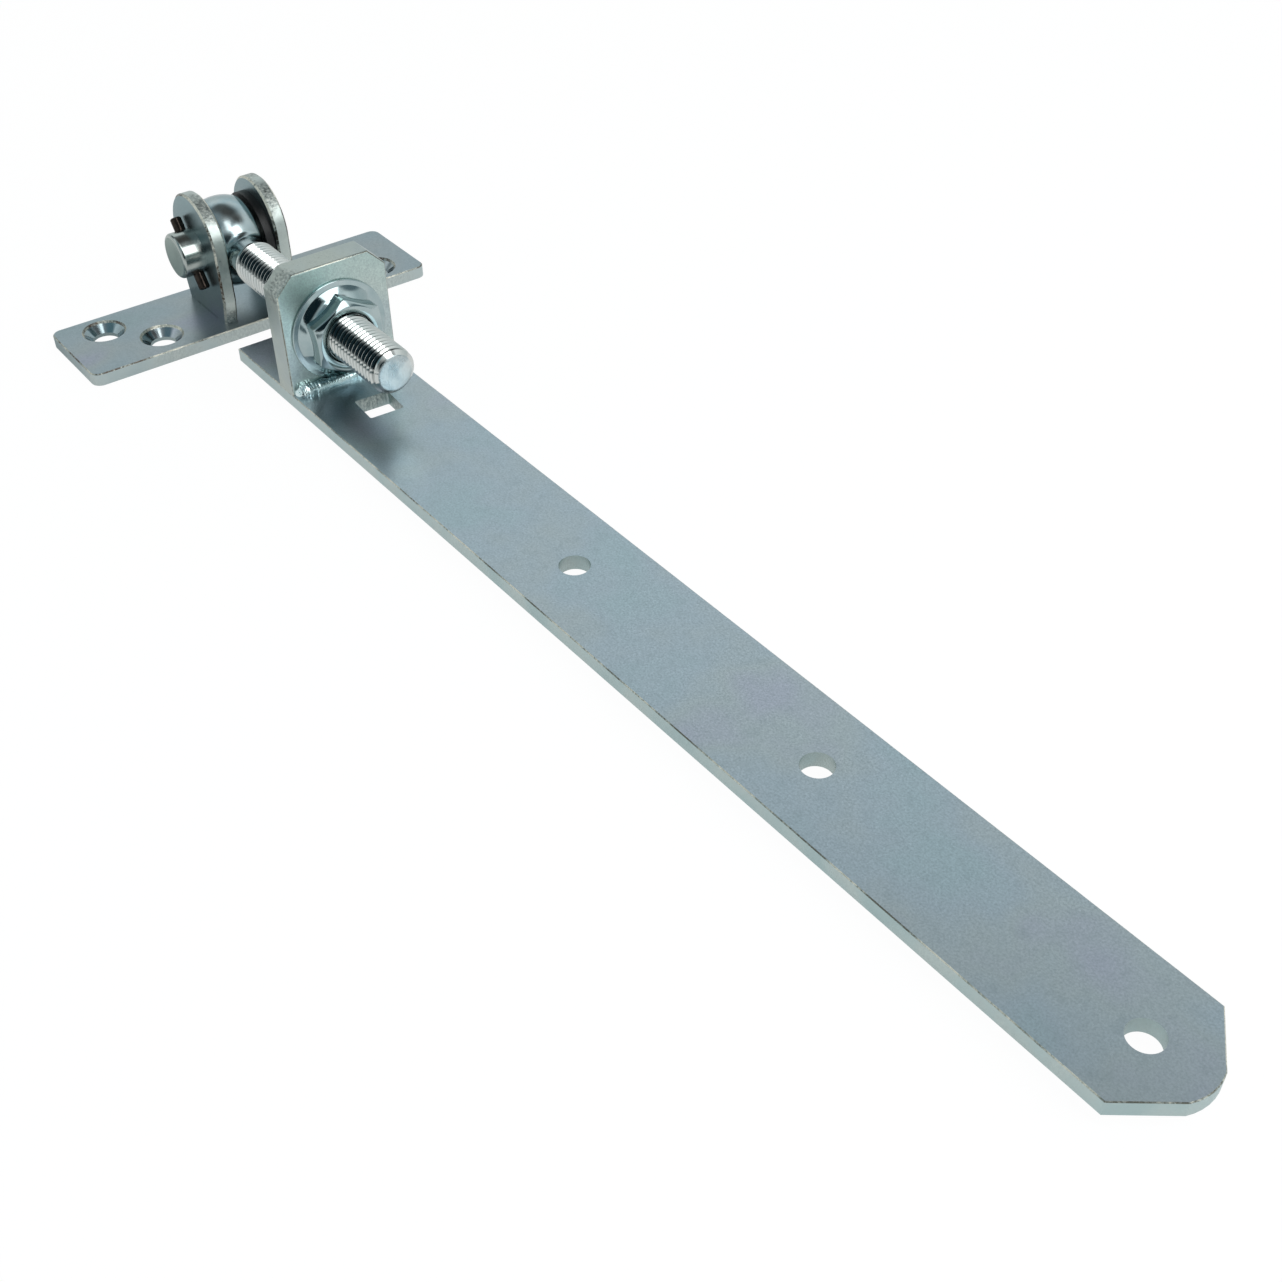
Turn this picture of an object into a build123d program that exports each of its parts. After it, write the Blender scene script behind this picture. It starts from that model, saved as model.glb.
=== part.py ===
from build123d import *

import os
from math import cos, radians, sin, tan

# Adjustable gate hinge for M16: a wall bracket with two ears, a pinned eye bolt,
# and a long strap whose welded lug is clamped on the bolt between two flange nuts.
# All lengths are millimetres. The origin is the middle of the wall plate's back face,
# straight below the hinge pin. +X runs along the strap to its tip, +Y along the hinge
# pin to its head, and +Z away from the wall.

# Fits and small gaps
running_clearance = 0.05      # radial, hinge pin in the ears, the eye and the washers
thread_clearance = 0.05       # radial, thread crests in the nuts
face_gap = 0.05               # between faces that slide on each other
slot_clearance = 0.1          # each side, ear tab in its slot

# Wall plate
plate_width = 38.0            # X
plate_length = 134.0          # Y
plate_thickness = 4.5
plate_corner_radius = 3.5
plate_edge_chamfer = 0.4
screw_hole_diameter = 9.0
screw_sink_diameter = 15.5
screw_sink_angle = 90.0
outer_screw_x = 8.5
outer_screw_y = 51.0
inner_screw_x = 7.0
inner_screw_y = 36.0

# Hinge pin with its flat head, and the spring pin that keeps it in
pin_diameter = 16.0
pin_rise = 23.5               # pin axis above the plate's front face
pin_overhang = 8.4            # past the near ear
pin_end_chamfer = 0.8
pin_head_diameter = 20.0
pin_head_thickness = 2.5
pin_head_chamfer = 0.8
spring_pin_diameter = 4.0
spring_pin_length = 26.0
spring_pin_wall = 0.8
spring_pin_slot = 1.0
spring_pin_slot_turn = 205.0  # degrees about its own axis
spring_pin_lean = 35.0        # degrees from upright, lower end towards the strap
spring_pin_drop = 0.5         # how far it sits off centre, towards its lower end
spring_pin_standoff = 2.5     # its axis from the near ear's outer face
spring_pin_chamfer = 0.35

# Ears
ear_gap = 19.0
ear_thickness = 5.0
ear_radius = 16.3
ear_arc_rise = 3.8            # centre of the rounded top above the pin axis
ear_foot_width = 28.4
ear_foot_height = 9.0         # the sides draw in below this height over the plate
ear_edge_chamfer = 0.7
ear_tab_width = 16.0
plug_weld_depth = 1.3

# Black washers between the eye and the far ear
washer_diameter = 30.0
washer_thickness = 1.5

# Eye bolt
bolt_diameter = 16.0
ball_diameter = 32.0
eye_width = 14.5
eye_side_gap = 0.2            # eye to the near ear
neck_diameter = 14.7
thread_start = 21.0           # from the pin axis
bolt_length = 116.0           # from the pin axis to the cut end
bolt_end_chamfer = 1.7

# Flange nuts
nut_across_flats = 24.0
nut_height = 8.7
nut_flange_diameter = 34.5
nut_rim_height = 1.0
nut_flange_slope = 30.5       # degrees, the flange's cone above its rim
nut_washer_face = 22.4        # diameter of the flat on the outer end
nut_chamfer_angle = 30.0
nut_sink_diameter = 17.6
nut_corner_turn = 32.5        # degrees, first hex corner from +Y towards +Z
rear_nut_turn = 18.0

# Strap
strap_width = 40.0
strap_thickness = 5.0
strap_length = 400.0
strap_edge_chamfer = 0.3
strap_rear_gap = 40.5         # pin axis to the strap's rear end
tip_clip_angle = 51.04095     # degrees between a cropped corner and the strap's side
tip_nose_width = 12.4
tip_nose_radius = 15.0
strap_hole_diameter = 9.5
strap_first_hole = 172.0      # from the strap's rear end
strap_hole_pitch = 105.0
strap_hole_count = 3
square_hole_size = 12.2
square_hole_place = 61.5      # from the strap's rear end
square_hole_turn = -4.0       # punched slightly out of square
square_hole_radius = 0.7

# Lug plate on the strap
lug_height = 42.0
lug_thickness = 9.5
lug_setback = 30.0            # strap's rear end to the lug's rear face
lug_clip = 6.0
lug_edge_radius = 0.7
lug_hole_diameter = 17.0
weld_leg = 3.4
weld_bulge = 0.62             # how full the bead is, as a share of its leg
front_weld_length = 38.0
rear_weld_length = 36.0
weld_end_chamfer = 1.2
weld_nut_gap = 0.3            # bead to the nut's flange

# Derived places
pin_height = plate_thickness + pin_rise
ear_outer = ear_gap / 2 + ear_thickness
bolt_y = -(ear_gap / 2 - eye_width / 2 - eye_side_gap)
strap_bottom = plate_thickness
strap_top = strap_bottom + strap_thickness
lug_rear = strap_rear_gap + lug_setback
lug_front = lug_rear + lug_thickness
pin_hole_radius = pin_diameter / 2 + running_clearance
nut_core_radius = nut_washer_face / 2 - 1
nut_cone_height = (nut_flange_diameter / 2 - nut_core_radius) * tan(radians(nut_flange_slope))


def save(builder, name):
    """Label a finished piece and write its STEP file."""
    builder.part.label = name
    export_step(builder.part, f"parts/{name}.step")
    print(name, round(builder.part.volume, 1), "mm3")


# Wall plate: rounded corners, four countersunk screw holes, two slots for the ear tabs
screw_places = [
    (-outer_screw_x, -outer_screw_y),
    (inner_screw_x, -inner_screw_y),
    (-inner_screw_x, inner_screw_y),
    (outer_screw_x, outer_screw_y),
]
with BuildPart() as wall_plate:
    with BuildSketch():
        RectangleRounded(plate_width, plate_length, plate_corner_radius)
        with Locations((0, -(ear_outer - ear_thickness / 2)), (0, ear_outer - ear_thickness / 2)):
            Rectangle(
                ear_tab_width + 2 * slot_clearance,
                ear_thickness + 2 * slot_clearance,
                mode=Mode.SUBTRACT,
            )
    extrude(amount=plate_thickness)
    chamfer(wall_plate.faces().sort_by(Axis.Z)[-1].outer_wire().edges(), plate_edge_chamfer)
    with Locations(*[(x, y, plate_thickness) for x, y in screw_places]):
        CounterSinkHole(
            radius=screw_hole_diameter / 2,
            counter_sink_radius=screw_sink_diameter / 2,
            counter_sink_angle=screw_sink_angle,
        )
save(wall_plate, "wall_plate")


def ear_blank(side):
    """One ear: a round-topped plate whose foot narrows, with a tab through the wall plate."""
    half = ear_foot_width / 2
    shoulder = plate_thickness + ear_foot_height
    arc_height = pin_height + ear_arc_rise
    inner = side * ear_gap / 2
    with BuildPart() as ear:
        with BuildSketch(Plane.XZ.offset(-inner)):
            with BuildLine():
                Polyline(
                    (-ear_radius, arc_height),
                    (-ear_radius, shoulder),
                    (-half, plate_thickness),
                    (half, plate_thickness),
                    (ear_radius, shoulder),
                    (ear_radius, arc_height),
                )
                CenterArc((0, arc_height), ear_radius, 0, 180)
            make_face()
        extrude(amount=-side * ear_thickness)
        rims = ear.edges().filter_by(
            lambda e: e.center().Z > plate_thickness + 0.5
            and abs(abs(e.center().Y) - abs(inner + side * ear_thickness / 2)) > 0.4 * ear_thickness
        )
        chamfer(rims, ear_edge_chamfer)
        with BuildSketch(Plane.XZ.offset(-inner)):
            with Locations((0, (plate_thickness + plug_weld_depth) / 2)):
                Rectangle(ear_tab_width, plate_thickness - plug_weld_depth)
        extrude(amount=-side * ear_thickness)
        with BuildSketch(Plane.XZ.offset(-inner)):
            with Locations((0, pin_height)):
                Circle(pin_hole_radius)
        extrude(amount=-side * ear_thickness, mode=Mode.SUBTRACT)
    return ear


for side, side_name in ((-1, "near"), (1, "far")):
    save(ear_blank(side), f"{side_name}_ear")
    # The plug weld fills the slot behind the tab, flush with the plate's back
    with BuildPart() as plug_weld:
        with BuildSketch():
            with Locations((0, side * (ear_outer - ear_thickness / 2))):
                Rectangle(ear_tab_width + 2 * slot_clearance, ear_thickness + 2 * slot_clearance)
        extrude(amount=plug_weld_depth)
    save(plug_weld, f"{side_name}_ear_weld")

# Hinge pin: flat head outside the far ear, chamfered end past the near ear, cross hole
pin_end = -(ear_outer + pin_overhang)
pin_head_under = ear_outer + face_gap
pin_plane = Plane.XZ.offset(-pin_head_under)
spring_pin_y = -(ear_outer + spring_pin_standoff)
lean = radians(spring_pin_lean)
spring_pin_axis = Vector(sin(lean), 0, -cos(lean))
spring_pin_middle = Vector(0, spring_pin_y, pin_height) + spring_pin_axis * spring_pin_drop
spring_pin_plane = Plane(
    origin=spring_pin_middle - spring_pin_axis * (spring_pin_length / 2),
    x_dir=(0, -1, 0),
    z_dir=spring_pin_axis,
)
with BuildPart() as hinge_pin:
    with BuildSketch(pin_plane):
        with Locations((0, pin_height)):
            Circle(pin_diameter / 2)
    extrude(amount=pin_head_under - pin_end)
    chamfer(hinge_pin.edges().sort_by(Axis.Y)[0], pin_end_chamfer)
    with BuildSketch(pin_plane):
        with Locations((0, pin_height)):
            Circle(pin_head_diameter / 2)
    extrude(amount=-pin_head_thickness)
    chamfer(hinge_pin.edges().sort_by(Axis.Y)[-1], pin_head_chamfer)
    with BuildSketch(spring_pin_plane):
        Circle(spring_pin_diameter / 2)
    extrude(amount=spring_pin_length, mode=Mode.SUBTRACT)
save(hinge_pin, "hinge_pin")

# Spring pin: a rolled, slotted tube
with BuildPart() as spring_pin:
    with BuildSketch(spring_pin_plane):
        Circle(spring_pin_diameter / 2)
    extrude(amount=spring_pin_length)
    chamfer(spring_pin.edges().filter_by(GeomType.CIRCLE), spring_pin_chamfer)
    with BuildSketch(spring_pin_plane):
        Circle(spring_pin_diameter / 2 - spring_pin_wall)
        with Locations(Rotation(0, 0, spring_pin_slot_turn)):
            with Locations((spring_pin_diameter / 2, 0)):
                Rectangle(spring_pin_diameter, spring_pin_slot)
    extrude(amount=spring_pin_length, mode=Mode.SUBTRACT)
save(spring_pin, "spring_pin")

# Two black washers on the pin, stacked against the far ear
for index, washer_name in enumerate(("outer_washer", "inner_washer")):
    washer_face = ear_gap / 2 - face_gap - index * (washer_thickness + face_gap)
    with BuildPart() as washer:
        with BuildSketch(Plane.XZ.offset(-washer_face)):
            with Locations((0, pin_height)):
                Circle(washer_diameter / 2)
                Circle(pin_hole_radius, mode=Mode.SUBTRACT)
        extrude(amount=washer_thickness)
    save(washer, washer_name)

# Eye bolt: a ball with two flats and a cross bore, a smooth neck, then the M16 thread's
# full diameter out to the cut end
bolt_plane = Plane(origin=(0, bolt_y, pin_height), x_dir=(0, 1, 0), z_dir=(1, 0, 0))
neck_step = (bolt_diameter - neck_diameter) / 2
neck_root = (pin_hole_radius + ball_diameter / 2) / 2    # halfway through the ball's wall
with BuildPart() as eye_bolt:
    with BuildSketch(Plane.XY.offset(pin_height)):
        with BuildLine():
            half_ball = CenterArc((0, bolt_y), ball_diameter / 2, 0, 180)
            Line(half_ball @ 0, half_ball @ 1)
        make_face()
    revolve(axis=Axis((0, bolt_y, pin_height), (1, 0, 0)))
    with BuildSketch(Plane.XZ.offset(-(bolt_y + eye_width / 2))):
        with Locations((0, pin_height)):
            Circle(ball_diameter)
    extrude(amount=eye_width, mode=Mode.INTERSECT)
    with BuildSketch(bolt_plane.offset(neck_root)):
        Circle(neck_diameter / 2)
    extrude(amount=thread_start - neck_root)
    with BuildSketch(bolt_plane.offset(thread_start)):
        Circle(bolt_diameter / 2)
    extrude(amount=bolt_length - thread_start)
    rims = eye_bolt.edges().filter_by(GeomType.CIRCLE).filter_by_position(
        Axis.X, thread_start - 0.1, bolt_length + 0.1
    )
    rims = rims.filter_by(lambda e: abs(e.radius - bolt_diameter / 2) < 0.01)
    chamfer(rims.sort_by(Axis.X)[0], neck_step - 0.01)
    chamfer(rims.sort_by(Axis.X)[-1], bolt_end_chamfer)
    with BuildSketch(Plane.XZ.offset(-(bolt_y + eye_width / 2))):
        with Locations((0, pin_height)):
            Circle(pin_hole_radius)
    extrude(amount=eye_width, mode=Mode.SUBTRACT)
save(eye_bolt, "eye_bolt")


def flange_outline(margin):
    """Half section of the nut's conical flange, grown outwards by a margin."""
    rim = nut_flange_diameter / 2 + margin
    rim_top = nut_rim_height + margin
    return [
        (0, 0),
        (rim, 0),
        (rim, rim_top),
        (nut_core_radius + margin, rim_top + nut_cone_height),
        (0, rim_top + nut_cone_height),
    ]


def flange_nut(seat, corner_turn):
    """A thin hexagon nut forged in one with a conical flange; seat is its bearing plane."""
    corner_radius = nut_across_flats / 2 / cos(radians(30))
    chamfer_drop = (corner_radius - nut_washer_face / 2) * tan(radians(nut_chamfer_angle))
    bore_radius = bolt_diameter / 2 + thread_clearance
    sink = nut_sink_diameter / 2 - bore_radius
    side_plane = Plane(origin=seat.origin, x_dir=seat.x_dir, z_dir=-seat.y_dir)
    turn_axis = Axis(seat.origin, seat.z_dir)
    with BuildPart() as nut:
        with BuildSketch(seat):
            RegularPolygon(
                nut_across_flats / 2, side_count=6, major_radius=False, rotation=corner_turn
            )
        extrude(amount=nut_height)
        # The cone that takes the corners off the outer end
        with BuildSketch(side_plane):
            with BuildLine():
                Polyline(
                    (0, 0),
                    (corner_radius + 1, 0),
                    (corner_radius + 1, nut_height - chamfer_drop - tan(radians(nut_chamfer_angle))),
                    (nut_washer_face / 2, nut_height),
                    (0, nut_height),
                    close=True,
                )
            make_face()
        revolve(axis=turn_axis, mode=Mode.INTERSECT)
        with BuildSketch(side_plane):
            with BuildLine():
                Polyline(*flange_outline(0), close=True)
            make_face()
        revolve(axis=turn_axis)
        # Bore, sunk at the outer end
        with BuildSketch(side_plane):
            with BuildLine():
                Polyline(
                    (0, 0),
                    (bore_radius, 0),
                    (bore_radius, nut_height - sink),
                    (bore_radius + sink, nut_height),
                    (0, nut_height),
                    close=True,
                )
            make_face()
        revolve(axis=turn_axis, mode=Mode.SUBTRACT)
    return nut


front_seat = Plane(origin=(lug_front + face_gap, bolt_y, pin_height), x_dir=(0, 1, 0), z_dir=(1, 0, 0))
rear_seat = Plane(origin=(lug_rear - face_gap, bolt_y, pin_height), x_dir=(0, 1, 0), z_dir=(-1, 0, 0))
save(flange_nut(front_seat, nut_corner_turn), "front_nut")
save(flange_nut(rear_seat, rear_nut_turn), "rear_nut")

# Strap: flat bar with a pointed tip, three round holes and a square one
strap_end = strap_rear_gap + strap_length
nose_sag = tip_nose_radius - (tip_nose_radius**2 - (tip_nose_width / 2) ** 2) ** 0.5
nose_x = strap_end - nose_sag
clip_x = nose_x - (strap_width - tip_nose_width) / 2 / tan(radians(tip_clip_angle))
near_edge = bolt_y - strap_width / 2
far_edge = bolt_y + strap_width / 2
nose_low = bolt_y - tip_nose_width / 2
nose_high = bolt_y + tip_nose_width / 2
with BuildPart() as strap:
    with BuildSketch(Plane.XY.offset(strap_bottom)):
        with BuildLine():
            Polyline(
                (nose_x, nose_high),
                (clip_x, far_edge),
                (strap_rear_gap, far_edge),
                (strap_rear_gap, near_edge),
                (clip_x, near_edge),
                (nose_x, nose_low),
            )
            ThreePointArc((nose_x, nose_low), (strap_end, bolt_y), (nose_x, nose_high))
        make_face()
        with Locations((strap_rear_gap + square_hole_place, bolt_y)):
            with Locations(Rotation(0, 0, square_hole_turn)):
                RectangleRounded(
                    square_hole_size, square_hole_size, square_hole_radius, mode=Mode.SUBTRACT
                )
        hole_places = [
            (strap_rear_gap + strap_first_hole + i * strap_hole_pitch, bolt_y)
            for i in range(strap_hole_count)
        ]
        with Locations(*hole_places):
            Circle(strap_hole_diameter / 2, mode=Mode.SUBTRACT)
    extrude(amount=strap_thickness)
    for face in (strap.faces().sort_by(Axis.Z)[-1], strap.faces().sort_by(Axis.Z)[0]):
        chamfer(face.outer_wire().edges(), strap_edge_chamfer)
save(strap, "strap")

# Lug plate: stands across the strap and is clamped between the nuts
with BuildPart() as lug_plate:
    with BuildSketch(Plane(origin=(lug_rear, bolt_y, strap_top), x_dir=(0, 1, 0), z_dir=(1, 0, 0))):
        with BuildLine():
            Polyline(
                (-strap_width / 2, 0),
                (strap_width / 2, 0),
                (strap_width / 2, lug_height - lug_clip),
                (strap_width / 2 - lug_clip, lug_height),
                (-strap_width / 2 + lug_clip, lug_height),
                (-strap_width / 2, lug_height - lug_clip),
                close=True,
            )
        make_face()
        with Locations((0, pin_height - strap_top)):
            Circle(lug_hole_diameter / 2, mode=Mode.SUBTRACT)
    extrude(amount=lug_thickness)
    for face in (lug_plate.faces().sort_by(Axis.X)[-1], lug_plate.faces().sort_by(Axis.X)[0]):
        rims = face.outer_wire().edges().filter_by(lambda e: e.center().Z > strap_top + 0.1)
        fillet(rims, lug_edge_radius)
save(lug_plate, "lug_plate")

# Weld beads in the two corners between the lug plate and the strap
for weld_name, foot, way, length, seat in (
    ("front_weld", lug_front, 1, front_weld_length, front_seat),
    ("rear_weld", lug_rear, -1, rear_weld_length, rear_seat),
):
    bulge = weld_leg * weld_bulge
    with BuildPart() as weld:
        with BuildSketch(Plane.XZ.offset(-(bolt_y + length / 2))):
            with BuildLine():
                Polyline((foot + way * weld_leg, strap_top), (foot, strap_top), (foot, strap_top + weld_leg))
                ThreePointArc(
                    (foot, strap_top + weld_leg),
                    (foot + way * bulge, strap_top + bulge),
                    (foot + way * weld_leg, strap_top),
                )
            make_face()
        extrude(amount=length)
        chamfer(weld.edges().filter_by(GeomType.CIRCLE), weld_end_chamfer)
        with BuildSketch(Plane(origin=seat.origin, x_dir=seat.x_dir, z_dir=-seat.y_dir)):
            with BuildLine():
                Polyline(*flange_outline(weld_nut_gap), close=True)
            make_face()
        revolve(axis=Axis(seat.origin, seat.z_dir), mode=Mode.SUBTRACT)
    save(weld, weld_name)
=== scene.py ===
# %% [markdown]
# # An adjustable gate hinge in zinc-plated steel
# The hinge has a wall bracket with two ears, an eye bolt that swings between them on a
# pin, and a long strap whose upright lug is clamped on the bolt between two flange nuts.
# Every rigid piece already exists in the frame that is loaded here, at its real size and
# place. This lesson gives those pieces their finishes, and models again only what the
# plain solids leave out: the rolled thread, the hollow behind the forged eye, the rounded
# edges of the nuts and the pin, and the ripples of the weld beads.

# %% Load the frame
import math

import bmesh
import bpy
from mathutils import Matrix, Vector
from mathutils import noise as solid_noise


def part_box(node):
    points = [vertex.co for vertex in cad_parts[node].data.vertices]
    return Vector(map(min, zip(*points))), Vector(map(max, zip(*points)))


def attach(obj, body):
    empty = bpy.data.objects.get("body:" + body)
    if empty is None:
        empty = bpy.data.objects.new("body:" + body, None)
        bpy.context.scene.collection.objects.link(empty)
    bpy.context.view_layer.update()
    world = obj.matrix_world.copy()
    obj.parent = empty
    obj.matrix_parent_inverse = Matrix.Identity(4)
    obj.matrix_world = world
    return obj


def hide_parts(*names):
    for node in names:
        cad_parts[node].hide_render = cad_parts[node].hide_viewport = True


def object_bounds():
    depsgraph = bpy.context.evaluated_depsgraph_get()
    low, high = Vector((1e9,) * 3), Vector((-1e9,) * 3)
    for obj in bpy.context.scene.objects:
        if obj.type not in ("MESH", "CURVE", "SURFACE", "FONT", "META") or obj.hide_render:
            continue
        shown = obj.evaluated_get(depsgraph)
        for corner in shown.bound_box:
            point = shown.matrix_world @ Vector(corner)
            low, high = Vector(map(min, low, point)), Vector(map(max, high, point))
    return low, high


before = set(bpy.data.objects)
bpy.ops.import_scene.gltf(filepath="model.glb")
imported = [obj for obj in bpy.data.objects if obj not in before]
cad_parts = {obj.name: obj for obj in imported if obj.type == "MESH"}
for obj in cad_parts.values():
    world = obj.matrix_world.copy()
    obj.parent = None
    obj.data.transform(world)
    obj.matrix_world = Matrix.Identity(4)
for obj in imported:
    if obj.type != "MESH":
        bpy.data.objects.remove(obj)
cad_low, cad_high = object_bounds()
print("frame size in mm", [round(1000 * (b - a), 1) for a, b in zip(cad_low, cad_high)])

# %% [markdown]
# ## Sizes
# Blender works in metres and hinge makers in millimetres, so one small factor turns one
# into the other. Places come from the frame's own boxes, so nothing has to be fitted:
# the pin's box gives the height of the hinge axis, and the bolt's box gives its line.

# %% Sizes read from the frame
MM = 0.001
pin_low, pin_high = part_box("hinge_pin")
bolt_low, bolt_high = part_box("eye_bolt")
lug_low, lug_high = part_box("lug_plate")
strap_low, strap_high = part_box("strap")
front_nut_low, front_nut_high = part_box("front_nut")
rear_nut_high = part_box("rear_nut")[1]
pin_height = (pin_low.z + pin_high.z) / 2
bolt_y = (bolt_low.y + bolt_high.y) / 2
bolt_end = bolt_high.x
strap_top = strap_high.z
eye_middle = Vector((0, bolt_y, pin_height))
print("eye in mm", [round(v / MM, 2) for v in eye_middle], "bolt end", round(bolt_end / MM, 1))


# %% [markdown]
# ## Helpers
# Colours are written as the hex values that a picture shows, and one function turns them
# into the linear values that the renderer works with. Another adds a shader node with its
# settings and links in one call, which keeps each material short enough to read: a node
# that is given as an input stands for its own first output.

# %% Colour and node helpers
def linear(hex_colour):
    """Linear RGBA of an sRGB hex colour."""
    values = [int(hex_colour[i:i + 2], 16) / 255 for i in (1, 3, 5)]
    return [v / 12.92 if v <= 0.04045 else ((v + 0.055) / 1.055) ** 2.4 for v in values] + [1.0]


def add(tree, kind, settings=None, **inputs):
    """Add a node. settings are its attributes or a ramp's stops, inputs go by name or by _index."""
    node = tree.nodes.new(kind)
    for name, value in (settings or {}).items():
        if name == "stops":
            band = node.color_ramp
            while len(band.elements) < len(value):
                band.elements.new(0.5)
            for element, (position, colour) in zip(band.elements, value):
                element.position = position
                element.color = linear(colour)
        else:
            setattr(node, name, value)
    for name, value in inputs.items():
        by_index = name[1:].isdigit()
        socket = node.inputs[int(name[1:]) if by_index else name.replace("_", " ")]
        if isinstance(value, bpy.types.Node):
            value = next(output for output in value.outputs if output.enabled)
        if isinstance(value, bpy.types.NodeSocket):
            tree.links.new(value, socket)
        else:
            socket.default_value = value
    return node


def new_material(name):
    """An empty node material with its output."""
    material = bpy.data.materials.new(name)
    material.use_nodes = True
    tree = material.node_tree
    tree.nodes.clear()
    return material, tree, add(tree, "ShaderNodeOutputMaterial")


def clothe(node_name, material):
    """Give a frame node its finish through its material slots."""
    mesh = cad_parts[node_name].data
    mesh.materials.clear()
    mesh.materials.append(material)


# %% [markdown]
# ## Zinc plate on rolled bar
# The strap, the wall plate, the ears and the lug are hot-rolled mild steel, barrel
# plated with bright zinc and passivated blue. The plating follows the fine grain of the
# mill skin, so the metal is satin and not a mirror. Clouds of blue, violet, straw and
# green a few centimetres across show where the passivation dried unevenly, and a grain
# of about half a millimetre sits in the colour, the roughness and a very low bump.
# The rims were sheared, which leaves them smooth where the blade cut and torn where the
# metal broke away. Torn stretches carry painted glints as sparks beside dark pits of painted
# shade, and along the edges a dark burr alternates with cream that is a painted highlight.
# The lug's near corner and the punched square hole broke away as a whole, so these two
# places are named. The countersinks were cut with a bit, which leaves their cones shinier
# than the mill skin. The piece's own normal tells its rims from its rolled faces, so the
# pattern swings with the gate, and the depth below the face keeps the edge pattern out
# of the countersinks.

# %% Zinc-plated sheet
EDGE_DEPTH = 0.8 * MM
CLOUD_SIZE = 34 * MM
GRAIN_SIZE = 0.6 * MM
STAIN_SIZE = 5 * MM
TEAR_SIZE = 0.8 * MM
PATCH_SIZE = 14 * MM
ACROSS_RIM = 0.7
GRAIN_RELIEF = 0.05 * MM
TEAR_RELIEF = 0.35 * MM
GRAIN_TONE = "#7F8E92"
STAIN_TONE = "#8B9BA0"
CLOUD_STOPS = (0.30, 0.44, 0.56, 0.70)


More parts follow.
